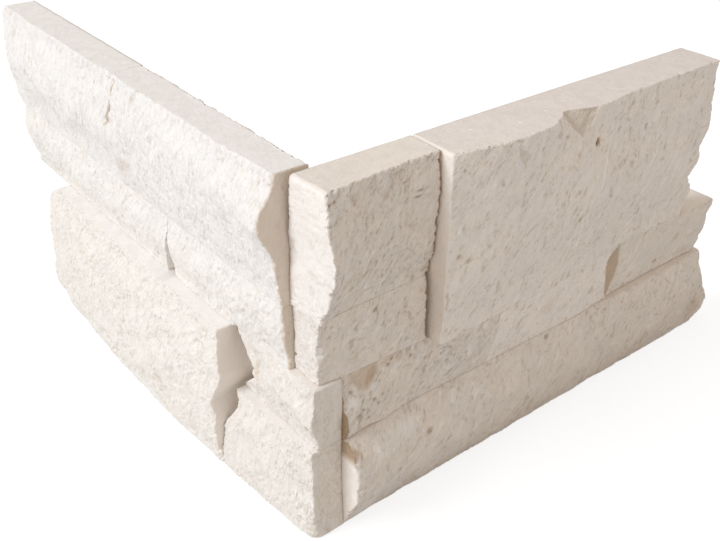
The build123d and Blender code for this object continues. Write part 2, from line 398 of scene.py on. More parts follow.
    def ends(self, heights, starts, ends, rows):
        """Place along the leg and hollowness of the two end faces."""
        inside = np.clip(heights, self.low + INSIDE, self.high - INSIDE)
        near_ends = np.array([starts + INSIDE_END, ends - INSIDE_END])
        start_depth, end_depth = (softened_row(depth, EDGE_SOFTENING)
                                  for depth in self.face(near_ends, np.array([inside, inside])))
        start_d, end_d = rows[:, None] * start_depth, rows[:, None] * end_depth
        start_fall, start_hollow = self.end_shift(self.finish.start, start_d, heights[None], start_depth)
        end_fall, end_hollow = self.end_shift(
            self.finish.end, end_d + SHIFT_BY_END, heights[None], end_depth + SHIFT_BY_END)
        return starts + start_fall, ends - end_fall, start_hollow, end_hollow

    def front(self, u, heights, starts, ends):
        """Depth, height and hollowness of the hewn face, and how far its edges fall short of the beds."""
        inside = np.clip(heights, self.low + INSIDE, self.high - INSIDE)
        z = np.broadcast_to(heights, u.shape)
        depth = self.face(np.clip(u, starts + INSIDE, ends - INSIDE), np.broadcast_to(inside, u.shape))
        smooth = softened(softened(depth, FACET_SOFTENING / GRID, 0), FACET_SOFTENING / GRID, 1)
        depth = np.where(np.abs(depth - smooth) > CUT_DEPTH, depth, smooth)
        relief, hollow = self.relief(u, z)
        depth, calm, exposed = self.drawn_together(depth, u, z)
        depth = depth + relief * calm
        drops = []
        for row, gap in ((0, z - self.low), (1, self.high - z)):
            worn, drop = self.arris(u, row, exposed[row][:, None])
            depth = depth - rounding(gap, worn)
            drops.append(drop[:, -row])
        for gap, end, row in ((u - u[0], self.finish.start, 0), (u[-1] - u, self.finish.end, 9)):
            bitten = self.bitten(end, heights, row)
            depth = depth - bitten * np.clip(1 - gap / (0.8 + bitten), 0, 1)
        depth = np.maximum(depth, LEAST_DEPTH)
        squeeze = (heights - self.low) / (self.high - self.low)
        z = z + (1 - squeeze) ** 6 * drops[0][:, None] - squeeze ** 6 * drops[1][:, None]
        return depth, z, hollow, drops

    def looks(self, u, z, heights, hollow, start_hollow, end_hollow):
        """How hollow and dark, how stained and browned, and how pale the surface is at each place of the
        lattice; on end faces, on some marks and in hollows these are partly painted shade and painted light.
        """
        columns = len(u) - 1
        hollows, stains_and_shade, pales = np.zeros((3, columns + 1, DEPTH_ROWS + 1, len(heights)))
        hollows[:, -1] = hollow
        for i, end, dug in ((0, self.finish.start, start_hollow), (-1, self.finish.end, end_hollow)):
            high_darkening = np.clip((heights - self.high + TOP_DARKENING_REACH) / TOP_DARKENING_FADE, 0, 1)
            high_darkening = end.top_darkening * high_darkening
            # The end faces' darkening, browning and paleness: painted shade and painted light
            hollows[i] = np.clip(end.dark + (1 - end.sawn) * dug + high_darkening, 0, 1)
            stains_and_shade[i] = end.stain + high_darkening
            stains_and_shade[i, :DEPTH_ROWS // 3, -1] += end.seam
            pales[i] = end.pale
        shown = slice(1 - self.finish.start.joined, columns + self.finish.end.joined)
        stains_and_shade[shown, -1], pales[shown, -1] = (self.mark(u, z, kind)[shown] for kind in ("stain", "pale"))
        return {"hollow": hollows, "stain": stains_and_shade, "pale": pales}

    def shape(self):
        """Places of the lattice that wraps the stone, and the looks of its surface."""
        high_rows = max(int((self.high - self.low) / GRID), LEAST_ROWS)
        share = np.linspace(0, 1, high_rows + 1)
        crowded = share - BED_CROWDING * np.sin(2 * pi * share) / (2 * pi)
        heights = self.low + (self.high - self.low) * crowded
        inside = np.clip(heights, self.low + INSIDE, self.high - INSIDE)
        starts, ends = self.reach(inside, -1), self.reach(inside, 1)
        columns = int((ends.max() - starts.min()) / GRID)
        shares = np.linspace(0, 1, columns + 1)[:, None]
        rows = 1 - (1 - np.linspace(0, 1, DEPTH_ROWS + 1)) ** ARRIS_CROWDING

        start_u, end_u, *end_hollows = self.ends(heights, starts, ends, rows)
        u = start_u[-1] + shares * (end_u[-1] - start_u[-1])
        depth, z, hollow, (drop_low, drop_high) = self.front(u, heights, starts, ends)

        lattice = np.zeros((columns + 1, DEPTH_ROWS + 1, high_rows + 1, 3))
        fall = rows ** 8
        for k, drop in ((0, drop_low), (-1, -drop_high)):
            bed_u = start_u[:, k] + shares * (end_u[:, k] - start_u[:, k])
            lattice[:, :, k] = self.world(bed_u, rows * depth[:, k, None], heights[k] + fall * drop[:, None])
        for i, side_u, side_z in ((0, start_u, z[0]), (-1, end_u, z[-1])):
            side_d = rows[:, None] * depth[i]
            lift = fall[:, None] * (side_z - heights)
            lattice[i] = self.world(side_u, side_d, heights + lift)
        back_u = start_u[0] + shares * (end_u[0] - start_u[0])
        back_d = np.zeros_like(back_u)
        nibbled = self.noise.layers(back_u[:, -1] / NIBBLED + self.shift, back_u[:, -1] / 60 + 7, 4, 0.65)
        back_d[:, -1] = self.finish.back_wear * (1 + np.clip(nibbled, -1, 2))
        lattice[:, 0] = self.world(back_u, back_d, np.broadcast_to(heights, back_u.shape))
        lattice[:, -1] = self.world(u, depth, z)
        return lattice, self.looks(u, z, heights, hollow, *end_hollows)


def quads(ids):
    """Four-sided faces over a grid of point numbers."""
    corners = ids[:-1, :-1], ids[1:, :-1], ids[1:, 1:], ids[:-1, 1:]
    return np.stack([corner.ravel() for corner in corners], axis=1)


def ring(ids):
    """Point numbers round the edge of a grid."""
    return np.concatenate([ids[:-1, 0], ids[-1, :-1], ids[:0:-1, -1], ids[0, :0:-1]])


def stone_mesh(stone):
    """One closed mesh: fine grids where the stone shows, and flat faces on its back and hidden beds."""
    lattice, looks = stone.shape()
    ids = np.arange(lattice[..., 0].size).reshape(lattice.shape[:3])
    front, start, end = ids[:, -1], ids[0], ids[-1]
    top, bottom = ids[:, :, -1], ids[:, :, 0]
    finish = stone.finish
    grids = [(front, 0), (start, finish.start.sawn), (end, finish.end.sawn), (bottom[:, -STRIP_ROWS:], 1)]
    flats = [bottom[:, :-STRIP_ROWS + 1], ids[:, 0]]
    if finish.open_top:
        grids.append((top, 1))
    else:
        grids.append((top[:, -STRIP_ROWS:], 1))
        flats.append(top[:, :-STRIP_ROWS + 1])
    faces, sawn = [], []
    for grid, cut in grids:
        made = quads(grid)
        faces += made.tolist()
        sawn += [cut] * len(made)
    smooth = [True] * len(faces)
    for grid in flats:
        faces.append(ring(grid).tolist())
        sawn.append(1)
        smooth.append(False)
    used, numbers = np.unique(np.concatenate([np.array(face) for face in faces]), return_inverse=True)
    pieces = np.split(numbers, np.cumsum([len(face) for face in faces])[:-1])
    mesh = bpy.data.meshes.new(stone.name + "_hewn")
    mesh.from_pydata((lattice.reshape(-1, 3)[used] * MM).tolist(), [], [piece.tolist() for piece in pieces])
    mesh.polygons.foreach_set("use_smooth", smooth)
    for name, values in looks.items():
        look = mesh.attributes.new(name, "FLOAT", "POINT")
        look.data.foreach_set("value", values.ravel()[used].astype(np.float32))
    cut = mesh.attributes.new("sawn", "FLOAT", "FACE")
    cut.data.foreach_set("value", np.array(sawn, np.float32))
    solid = bmesh.new()
    solid.from_mesh(mesh)
    bmesh.ops.recalc_face_normals(solid, faces=solid.faces)
    solid.to_mesh(mesh)
    solid.free()
    return mesh


# Ends of stones. A joint runs into its neighbour's face, and a seam is a joint that shows on the top.
JOINT = End(joined=True)
SEAM = End(joined=True, seam=0.9)
# Painted bounce light: the torn end lies in the joint's shade and is painted warmer and paler
TORN = End(rough=0.3, gap=-0.45, stain=0.9, pale=1.0)
SAWN = End(rough=0.06, front_round=(0.5, 0.5, 0.5), front_wear=0.5, top_round=0.5)
BROKEN = End(rough=0.6, front_round=(0.7, 0.7, 0.7), front_wear=0.9, top_round=0.8, sawn=0.1)
# Painted light: the hewn end is lit and is painted paler than the tan face
HEWN = End(rough=1.0, front_round=(0.4, 0.2, 0.4), front_wear=0.7, top_round=1.6, foot_round=0.6, sawn=0.5,
           pale=0.45, bite=2.2)
# Painted light: the chiselled end is lit and is painted a little paler
CHISELLED = End(rough=1.5, front_round=(0.6, 0.4, 0.2), front_wear=0.7, top_round=0.8, foot_round=0.6,
                sawn=0.1, pale=0.2, bite=2.2)
# Painted shade: the end inside the crack is painted darker and browner
CRACKED = End(rough=0.5, gap=0.14, front_round=(0.3, 0.2, 0.3), front_wear=0.9, stain=1.0, dark=0.6)
# Painted shade: the bevelled end lies in its neighbour's shade and is painted a little darker
BEVELLED = End(dark=0.1, rough=0.06, front_round=(0.4, 0.4, 0.8), front_wear=0.4, top_round=1.3)
# Painted shade: the sheltered end lies in a narrow slot and is painted browner
SHELTERED = End(rough=0.3, front_round=(0.4, 0.4, 0.4), front_wear=0.9, top_round=0.5, sawn=0.4, stain=0.6)
# The split end is darkened and browned just under its top
SPLIT = End(rough=0.1, front_round=(0.3, 0.3, 0.3), front_wear=1.1, top_round=0.3, top_darkening=0.9)
# Painted shade: the end at a deep crack is painted dark brown
DEEP = End(rough=0.3, front_round=(1.0, 0.5, 0.3), front_wear=0.7, stain=1.0, dark=1.0)
# Painted bounce light: the long broken end lies in a hollow's shade and is painted paler and warmer
LONG_BREAK = End(rough=0.3, front_round=(0.5, 0.4, 0.4), front_wear=1.0, top_round=0.5, sawn=0.8, stain=0.3,
                 pale=1.0)
# Painted shade: the corner ends face away from the key light and are painted darker and browner
CORNER = End(rough=0.5, front_round=(0.8, 0.4, 0.4), front_wear=0.8, top_round=0.2, sawn=0.0, dark=0.1,
             stain=0.08)
FOOT_CORNER = End(rough=0.5, front_round=(3.8, 0.5, 0.5), front_wear=0.8, top_round=0.3, foot_round=1.2,
                  sawn=0.0, dark=0.13, stain=0.06)
SLENDER = End(rough=0.5, front_round=(0.7, 0.7, 2.6), front_wear=0.8, top_round=1.6, sawn=0.1)

# Tints of the stones, from the near white left leg to the tan right leg
WHITE = (0.905, 0.865, 0.832)
SOFT_WHITE = (0.895, 0.85, 0.80)
DULL_WHITE = (0.88, 0.825, 0.765)
CREAM = (0.86, 0.80, 0.74)
LIGHT_TAN = (0.94, 0.86, 0.79)
PALE_TAN = (0.90, 0.825, 0.757)
TAN = (0.845, 0.765, 0.69)

# Outline of the deep chip in the top edge of the tall right stone
TOP_CHIP = ((98.6, 155.2), (107.7, 154.6), (118.7, 153.1), (116.2, 147.2), (113.3, 144.2), (110.3, 140.9),
            (105.6, 145.4), (101.9, 149.6))

# Outline of the shallow chip beside it
SHALLOW_CHIP = ((70.9, 149.8), (79.0, 144.3), (77.2, 141.8), (75.4, 140.3), (72.5, 145.5))

# Brown patch on the inner stone of the right leg's third course
BROWN_PATCH = ((3.3, 72.0), (7.2, 73.5), (14.5, 75.1), (18.8, 74.2), (18.0, 68.9), (15.3, 65.0), (11.3, 62.7),
               (7.3, 64.1), (4.4, 68.7))

# Darkest part of the brown patch
BROWN_CORE = ((11.4, 73.2), (18.1, 74.1), (17.8, 69.3), (15.5, 65.7), (11.4, 62.8), (8.3, 64.6), (8.7, 69.4))

# Hollow at the corner end of that stone
JOINT_HOLLOW = ((-6.0, 80.0), (5.0, 80.0), (5.5, 62.0), (4.0, 54.0), (-6.0, 50.5))

# Hollow beside the broken joint on the outer stone of that course, which is also painted darker and browner as
# painted shade
END_HOLLOW = ((162.7, 72.6), (154.3, 70.8), (152.1, 65.3), (152.2, 57.2), (156.7, 43.8), (159.4, 46.1),
              (163.1, 51.9), (164.8, 60.0))

# Rough grey patch on the left leg's top inner stone
ROUGH_PATCH = ((130.2, 112.1), (108.3, 120.9), (101.5, 115.8), (113.8, 106.2), (129.4, 104.8))

# Crack between the left leg's two top stones, where it shows on their faces
CRACK_LINE = ((115.4, 151.7), (116.6, 145.9), (119.4, 139.0), (124.1, 128.9), (123.1, 128.9), (117.6, 139.0),
              (114.8, 145.9), (114.4, 151.7))

finishes = {
    "right_top_corner_stone": Finish(
        TAN, HEWN, CRACKED, strokes=0.38, pitting=0.45, flecks=1.2, wear=0.9, open_top=True,
        marks={
            "stain": ((7.5, 117.2, 2.6, 1.3, 30, 0.8), (0.2, 113.8, 2.0, 1.0, 20, 0.7),
                      (-11.2, 148.4, 4.0, 1.2, 75, 0.6)),
            "pit": ((32.6, 140.6, 2.6, 0.35, 8, 0.8), (32.2, 138.2, 2.2, 0.3, -5, 0.6),
                    (-8.0, 148.6, 0.9, 0.9, 0, 0.7), (-5.6, 148.9, 0.7, 0.8, 0, 0.6),
                    (26.2, 145.6, 2.2, 0.3, 5, 0.5), (12.4, 132.4, 1.6, 0.5, 20, 0.5)),
            "rough": ((2.0, 134.0, 12.0, 16.0, 20, 0.6),),
            "dark": ((11.3, 149.1, 4.5, 2.6, 70, 0.3), (-11.2, 149.2, 4.0, 0.9, 75, 0.7),
                     (-9.6, 140.1, 3.5, 0.8, 80, 0.5), (-1.9, 127.6, 3.5, 0.7, 60, 0.4)),
        }),
    "right_second_corner_stone": Finish(
        TAN, CHISELLED, CRACKED, strokes=0.24, pitting=0.25, flecks=0.9,
        marks={
            "pit": ((15.3, 97.1, 1.6, 0.6, 25, 0.5),),
            "stain": ((15.3, 97.1, 2.2, 1.0, 25, 0.5),),
        }),
    "right_tall_stone": Finish(
        PALE_TAN, BEVELLED, BROKEN, strokes=0.19, pitting=0.14, flecks=0.75, wear=0.8, open_top=True,
        top_shade=(0.865, 0.85, 0.855), top_fade=("X", 0.06, 0.22, 1.0, 0.88),
        marks={
            "pit": ((119.0, 137.6, 1.0, 1.9, 0, 1.0), (120.5, 135.6, 0.6, 0.5, 0, 0.6),
                    (53.0, 107.4, 2.6, 0.45, 25, 0.4), (65.0, 105.2, 2.2, 0.45, 15, 0.35),
                    (115.0, 105.0, 1.6, 0.7, 40, 0.6), (145.0, 122.0, 0.9, 0.8, 0, 0.6),
                    (146.5, 124.0, 0.7, 0.6, 0, 0.5)),
            "stain": ((119.4, 137.0, 1.6, 2.4, 0, 1.0), (111.8, 108.2, 0.6, 1.0, 0, 1.0),
                      (129.9, 102.3, 0.7, 0.8, 0, 1.0), (127.2, 88.3, 0.8, 0.7, 0, 1.0),
                      (140.2, 88.7, 0.7, 0.7, 0, 0.9), (48.7, 110.0, 1.8, 0.9, 30, 1.0),
                      (54.0, 107.0, 2.6, 0.7, 20, 0.6), (115.0, 105.4, 3.0, 1.6, 40, 0.5)),
            "ridge": ((117.0, 99.0, 15.0, 1.0, 92, 0.6), (126.0, 128.0, 22.0, 0.9, 81, 0.4)),
            # Painted highlight: the first two pale marks lie along the ridges as the light line a ridge
            # catches; the last two are pale spots
            "pale": ((117.0, 99.0, 15.0, 1.1, 92, 1.0), (126.0, 128.0, 22.0, 1.0, 81, 0.8),
                     (118.6, 151.6, 1.3, 1.0, 0, 1.0), (47.0, 151.6, 2.0, 1.0, 0, 0.9)),
            "smooth": ((109.0, 82.0, 9.0, 5.0, 10, 0.6),),
        },
        outlines=(
            # Painted shade: the chips' facets are painted darker, as the wall beside them shades them
            (TOP_CHIP, {"smooth": (1.0, 0.4), "scoop": (1.3, 2.5), "dark": (0.6, 0.6)}),
            (SHALLOW_CHIP, {"smooth": (1.0, 0.4), "scoop": (0.7, 1.0), "dark": (0.35, 0.5)}),
        )),
    "right_third_inner_stone": Finish(
        TAN, DEEP, JOINT, strokes=0.34, pitting=0.7, flecks=1.2, bed_gaps=(0.1, 0.015),
        marks={
            "stain": ((23.0, 72.2, 7.0, 2.0, 25, 0.55),),
            "pit": ((24.4, 71.4, 1.0, 0.8, 0, 0.8), (22.4, 69.6, 0.9, 0.7, 0, 0.7),
                    (16.3, 55.1, 1.0, 0.6, 30, 0.7), (6.6, 53.7, 1.8, 1.3, 30, 0.9),
                    (8.6, 55.8, 1.0, 0.7, 0, 0.7), (11.5, 50.2, 1.1, 0.6, 20, 0.7),
                    (19.6, 46.6, 1.0, 0.6, 20, 0.7), (18.6, 58.3, 0.8, 0.6, 0, 0.6),
                    (33.2, 68.7, 0.9, 0.7, 0, 0.6), (50.6, 60.3, 1.0, 0.7, 0, 0.7),
                    (52.6, 62.5, 0.8, 0.6, 0, 0.6)),
            "rough": ((40.0, 62.0, 22.0, 9.0, 15, 0.7),),
        },
        outlines=(
            (BROWN_PATCH, {"smooth": (0.9, 1.0), "stain": (0.65, 1.6)}),
            (BROWN_CORE, {"stain": (0.9, 2.2)}),
            (JOINT_HOLLOW, {"scoop": (2.4, 4.0)}),
        )),
    "right_third_middle_stone": Finish(
        LIGHT_TAN, JOINT, SAWN, strokes=0.2, pitting=0.14, flecks=0.7, bed_gaps=(0.1, 0.015),
        marks={
            "smooth": ((109.0, 61.5, 9.0, 6.5, 20, 0.8), (92.0, 56.0, 9.0, 5.0, 10, 0.6)),
            "stain": ((109.0, 61.5, 8.5, 6.0, 20, 0.28),),
        }),
    "right_third_outer_stone": Finish(
        TAN, JOINT, SLENDER, swell=0.3, strokes=0.14, pitting=0.2, flecks=0.5, open_top=True,
        bed_gaps=(0.1, 0.015),
        marks={
            "stain": ((194.4, 50.5, 1.7, 2.2, 20, 1.0), (208.0, 59.5, 4.5, 2.6, 40, 0.5),
                      (219.0, 48.0, 3.0, 4.0, 60, 0.35)),
            "smooth": ((185.0, 58.0, 30.0, 14.0, 0, 0.7),),
        },
        outlines=(
            # Painted shade: the hollow beside the joint is darkened and browned where the stone beside it
            # shades it
            (END_HOLLOW, {"smooth": (1.0, 0.5), "scoop": (0.7, 1.5), "dark": (0.3, 1.0),
                          "stain": (0.75, 1.0)}),
        )),
    "right_bottom_long_stone": Finish(
        TAN, SPLIT, BROKEN, strokes=0.19, pitting=0.16, flecks=0.8, wear=0.7, open_top=True,
        bed_gaps=(0.015, 0.1),
        marks={
            "smooth": ((24.0, 36.0, 20.0, 7.0, 5, 0.7),),
            "pale": ((24.0, 37.0, 19.0, 6.0, 5, 0.45),),
            "stain": ((41.6, 30.8, 2.6, 1.6, 15, 0.9), (40.0, 37.5, 2.6, 0.7, 70, 0.6),
                      # The mark at the corner end's top darkens and browns it just under the course above
                      (33.0, 27.0, 5.5, 1.0, 38, 0.5), (0.8, 41.0, 3.0, 4.0, 60, 0.9),
                      (208.8, 27.2, 1.6, 0.8, 20, 0.9), (187.0, 26.0, 1.2, 0.9, 0, 0.8),
                      (149.5, 42.6, 1.4, 0.7, 0, 0.9), (232.0, 10.0, 9.0, 9.0, 30, 0.4),
                      # Painted shade: two long faint bands darken the face towards the foot, where it curves
                      # under
                      (100.0, 6.0, 60.0, 8.0, 3, 0.12), (190.0, 6.0, 50.0, 7.0, 3, 0.15)),
            "pit": ((41.4, 29.4, 1.4, 0.7, 15, 0.9), (115.0, 41.8, 2.0, 1.4, 10, 0.7)),
        }),
    "left_top_inner_stone": Finish(
        WHITE, SHELTERED, SEAM, strokes=0.24, stroke_turn=100, pitting=0.35, flecks=0.55, back_wear=0.8,
        open_top=True,
        marks={
            "rough": ((109.0, 121.0, 8.0, 4.0, 0, 0.8), (116.0, 112.4, 4.0, 2.6, 0, 1.0),
                      (60.0, 118.0, 40.0, 12.0, 0, 0.6)),
            "pit": ((108.9, 121.5, 1.6, 1.0, 0, 0.5), (104.0, 122.6, 1.2, 0.9, 0, 0.5)),
            "smooth": ((60.0, 145.0, 50.0, 5.0, 0, 0.6),),
        },
        outlines=(
            (CRACK_LINE, {"stain": (1.0, 0.3)}),
            (ROUGH_PATCH, {"stain": (0.35, 5.0), "dark": (0.3, 5.0)}),
        )),
    "left_top_outer_stone": Finish(
        WHITE, SEAM, BROKEN, strokes=0.22, stroke_turn=100, pitting=0.3, flecks=0.45, open_top=True,
        marks={
            "stain": ((222.0, 142.0, 2.0, 4.0, 0, 0.35),),
            "rough": ((201.0, 126.0, 12.0, 5.0, 0, 0.7),),
            "smooth": ((170.0, 144.0, 36.0, 5.0, 0, 0.7),),
        },
        outlines=(
            (CRACK_LINE, {"stain": (1.0, 0.3)}),
        )),
    "left_second_inner_stone": Finish(
        SOFT_WHITE, SHELTERED, TORN, strokes=0.24, stroke_turn=110, pitting=0.4, flecks=0.7,
        marks={
            "ridge": ((45.0, 85.0, 2.0, 2.4, 0, 0.6),),
            "pit": ((57.5, 88.0, 3.0, 0.5, 10, 0.5),),
        }),
    "left_second_outer_stone": Finish(
        SOFT_WHITE, TORN, BROKEN, strokes=0.24, stroke_turn=110, pitting=0.35, flecks=0.6,
        marks={
            "stain": ((124.0, 85.0, 1.6, 1.4, 0, 0.5), (143.0, 92.0, 1.2, 1.2, 0, 0.4)),
            "pit": ((185.0, 97.0, 1.4, 0.7, 0, 0.5), (176.0, 92.0, 1.0, 0.8, 0, 0.5),
                    (150.0, 78.0, 1.0, 0.8, 0, 0.5)),
        }),
    "left_tall_stone": Finish(
        DULL_WHITE, LONG_BREAK, BROKEN, strokes=0.26, stroke_turn=120, pitting=0.35, flecks=0.75,
        open_top=True, top_shade=(1.02, 1.05, 1.1),
        marks={
            "stain": ((163.0, 50.0, 1.6, 1.4, 0, 0.6), (203.0, 13.0, 2.2, 1.8, 0, 0.6),
                      (118.0, 37.0, 1.6, 1.4, 0, 0.5), (88.0, 19.0, 8.0, 6.0, 0, 0.3)),
            "rough": ((88.0, 19.0, 9.0, 7.0, 0, 1.0),),
        }),
    "left_third_corner_stone": Finish(
        CREAM, CORNER, BROKEN, strokes=0.26, stroke_turn=100, pitting=0.3, flecks=0.7,
        # Painted shade: the top is painted darker at its corner end, beyond the right leg's face, where it lies
        # in shade
        top_shade=(1.02, 1.02, 1.03), top_fade=("Y", -0.0158, -0.0146, 0.8, 1.0),
        marks={
            "stain": ((20.0, 62.0, 2.0, 7.0, 0, 0.45), (-13.0, 55.0, 1.4, 1.2, 0, 0.8)),
            "pit": ((-13.5, 55.0, 0.9, 0.7, 0, 0.7),),
        }),
    "left_bottom_corner_stone": Finish(
        CREAM, FOOT_CORNER, SAWN, strokes=0.28, stroke_turn=100, pitting=0.5, flecks=0.8, open_top=True,
        top_shade=(1.03, 1.06, 1.1)),
}


# Scales of the stone's colour noise, for each metre
CLOUDS, VEILS, PATCHES, SMUDGES, FLECKS, PORES, SPECKS, GRAIN = 60, 240, 95, 300, 800, 620, 700, 1500

# How much longer than wide the marks along the strokes are
STROKE_STRETCH = 2.4

# Shares of a stone's tint in its veils, smudges and pores, and in its clouds and flecks by leg
VEIL_SHARES = (1.0, 0.975, 0.93)
SMUDGE_SHARES = (0.86, 0.845, 0.825)
PORE_SHARES = (0.66, 0.60, 0.52)
RIGHT_CLOUD_SHARES, LEFT_CLOUD_SHARES = (0.95, 0.965, 0.985), (0.98, 0.98, 0.98)
RIGHT_FLECK_SHARES, LEFT_FLECK_SHARES = (0.68, 0.65, 0.60), (0.80, 0.79, 0.77)
TOP_VEIL_SHARE = 0.93

# Colours of chalky flecks, bruises and dark specks, and the colours that dirt with painted shade and stains
# with painted shade multiply by
PALE = (0.93, 0.885, 0.85, 1)
PALEST = (0.97, 0.93, 0.89, 1)
DARK_SPECK = (0.62, 0.57, 0.52, 1)
HOLLOW_SHADE_AND_DIRT = (0.66, 0.61, 0.54, 1)
STAIN_AND_SHADE = (0.71, 0.595, 0.47, 1)

# Share of a sawn surface's flecks and bumps beside a hewn one's
SAWN_TEXTURE = 0.3

# Depths in metres of the bumps in the surface, and their strengths
FLECK_BUMP = 0.0005, 0.45
SMUDGE_BUMP = 0.0012, 0.5
GRAIN_BUMP = 0.00015, 0.3


class Wiring:
    """The nodes of a material or world."""

    def __init__(self, owner):
        owner.use_nodes = True
        self.nodes, self.links = owner.node_tree.nodes, owner.node_tree.links

    def put(self, value, socket):
        """Link an output to a socket, or set the socket to a value."""
        if isinstance(value, bpy.types.NodeSocket):
            self.links.new(value, socket)
        else:
            socket.default_value = value

    def add(self, kind, inputs, **settings):
        """New node with its settings, and with its inputs linked or set."""
        node = self.nodes.new("ShaderNode" + kind)
        for name, value in settings.items():
            setattr(node, name, value)
        for name, value in inputs.items():
            self.put(value, node.inputs[name])
        return node

    def noise(self, place, scale, **inputs):
        """Cloudy noise of a scale."""
        return self.add("TexNoise", {"Vector": place, "Scale": scale, **inputs}).outputs["Fac"]

    def ramp(self, source, low, high, dark, light):
        """A value brought from one range to another."""
        inputs = {"Value": source, "From Min": low, "From Max": high, "To Min": dark, "To Max": light}
        return self.add("MapRange", inputs).outputs["Result"]

    def product(self, *values):
        """All the values multiplied."""
        total = values[0]
        for value in values[1:]:
            total = self.add("Math", {0: total, 1: value}, operation="MULTIPLY").outputs[0]
        return total

    def mix(self, factor, first, second, blend="MIX"):
        """Two colours mixed by a factor."""
        return self.add("Mix", {0: factor, 6: first, 7: second}, data_type="RGBA", blend_type=blend).outputs[2]

    def attribute(self, name):
        """A look kept in the mesh."""
        return self.add("Attribute", {}, attribute_name=name).outputs["Fac"]

    def seen(self):
        """1 for the camera's own rays and 0 for all others."""
        return self.nodes.new("ShaderNodeLightPath").outputs["Is Camera Ray"]

    def bump(self, height, distance, strength, normal=None):
        """Normal of a surface with bumps on it."""
        inputs = {"Height": height, "Distance": distance, "Strength": strength}
        if normal is not None:
            inputs["Normal"] = normal
        return self.add("Bump", inputs).outputs["Normal"]


def limestone(name, finish, right):
    """Procedural limestone: mottled, flecked along the strokes, darker in hollows by the pits' own dirt and
    painted shade, browned by stains and painted shade, paler where painted light is laid, calmer where sawn.
    """
    material = bpy.data.materials.new(name)
    wiring = Wiring(material)
    noise, ramp, product, mix = wiring.noise, wiring.ramp, wiring.product, wiring.mix
    shader = wiring.nodes["Principled BSDF"]
    shader.inputs["Specular IOR Level"].default_value = 0.25
    place = wiring.nodes.new("ShaderNodeTexCoord").outputs["Object"]
    angle = radians(finish.stroke_turn)
    stroked = wiring.add("Mapping", {
        "Vector": place,
        "Rotation": (0, -angle, 0) if right else (angle, 0, 0),
        "Scale": (STROKE_STRETCH, 1, 1) if right else (1, STROKE_STRETCH, 1),
    }, vector_type="TEXTURE").outputs["Vector"]

    def shade(shares):
        return tuple(tint * share for tint, share in zip(finish.tint, shares)) + (1,)

    sawn = wiring.attribute("sawn")
    hewn = ramp(sawn, 0, 1, 1, SAWN_TEXTURE)
    clouds = noise(place, CLOUDS, Detail=4)
    veils = noise(place, VEILS, Detail=4)
    patches = noise(place, PATCHES, Detail=2)
    specks = noise(place, SPECKS, Detail=3)
    grain = noise(place, GRAIN, Detail=3)
    smudges = noise(stroked, SMUDGES, Detail=5, Roughness=0.6, Distortion=1.0)
    flecks = noise(stroked, FLECKS, Detail=4, Roughness=0.6, Distortion=0.6)
    pores = wiring.add("TexVoronoi", {"Vector": stroked, "Scale": PORES, "Randomness": 1.0}).outputs["Distance"]

    cloud = shade(RIGHT_CLOUD_SHARES if right else LEFT_CLOUD_SHARES)
    colour = mix(ramp(clouds, 0.38, 0.62, 0, 1), shade((1.0, 1.0, 1.0)), cloud)
    colour = mix(ramp(veils, 0.45, 0.7, 0, 0.7), colour, shade(VEIL_SHARES))
    dark_smudges = product(ramp(smudges, 0.5, 0.68, 0, 1), hewn, 0.55 * finish.flecks)
    colour = mix(dark_smudges, colour, shade(SMUDGE_SHARES))
    dense = ramp(patches, 0.42, 0.64, 0.15, 1)
    dark_flecks = product(ramp(flecks, 0.55, 0.7, 0, 1), dense, hewn, 0.55 * finish.flecks)
    colour = mix(dark_flecks, colour, shade(RIGHT_FLECK_SHARES if right else LEFT_FLECK_SHARES))
    pale_flecks = product(ramp(smudges, 0.46, 0.3, 0, 1), hewn, 0.6)
    colour = mix(pale_flecks, colour, PALE)
    pitted = ramp(patches, 0.52, 0.62, 0, 1)
    pits = product(ramp(pores, 0.3, 0.12, 0, 1), pitted, hewn, 0.7 * finish.flecks)
    colour = mix(pits, colour, shade(PORE_SHARES))
    # Painted light: lit ends, the lines along ridges and shaded ends that bounce light would brighten are
    # painted paler
    colour = mix(product(wiring.attribute("pale"), 0.9), colour, PALEST)
    # Painted shade with the pits' own dirt: hollows, pits, cracks and shaded ends are darkened
    hollow_shade_and_dirt = product(wiring.attribute("hollow"), 1.0 if right else 0.6)
    colour = mix(hollow_shade_and_dirt, colour, HOLLOW_SHADE_AND_DIRT, "MULTIPLY")
    # Real stains, and painted shade on shaded ends, cracks and the hollow beside a joint, brown the colour
    colour = mix(wiring.attribute("stain"), colour, STAIN_AND_SHADE, "MULTIPLY")

    top_veil = tuple(TOP_VEIL_SHARE * share for share in finish.top_shade)
    cut = mix(ramp(veils, 0.38, 0.66, 0, 1), shade(finish.top_shade), shade(top_veil))
    cut = mix(ramp(specks, 0.34, 0.28, 0, 0.5), cut, DARK_SPECK)
    cut = mix(ramp(specks, 0.66, 0.72, 0, 0.8), cut, PALEST)
    axis, *reach = finish.top_fade
    along = wiring.add("SeparateXYZ", {"Vector": place}).outputs[axis]
    cut = mix(1.0, cut, ramp(along, *reach), "MULTIPLY")
    wiring.put(mix(ramp(sawn, 0.9, 1, 0, 0.9), colour, cut), shader.inputs["Base Color"])
    wiring.put(ramp(grain, 0.3, 0.7, 0.84, 0.95), shader.inputs["Roughness"])

    normal = None
    for height, (distance, strength) in ((ramp(smudges, 0.3, 0.7, 1, 0), SMUDGE_BUMP),
                                         (ramp(flecks, 0.3, 0.7, 1, 0), FLECK_BUMP)):
        normal = wiring.bump(height, distance, product(hewn, strength), normal)
    distance, strength = GRAIN_BUMP
    wiring.put(wiring.bump(grain, distance, strength, normal), shader.inputs["Normal"])
    return material


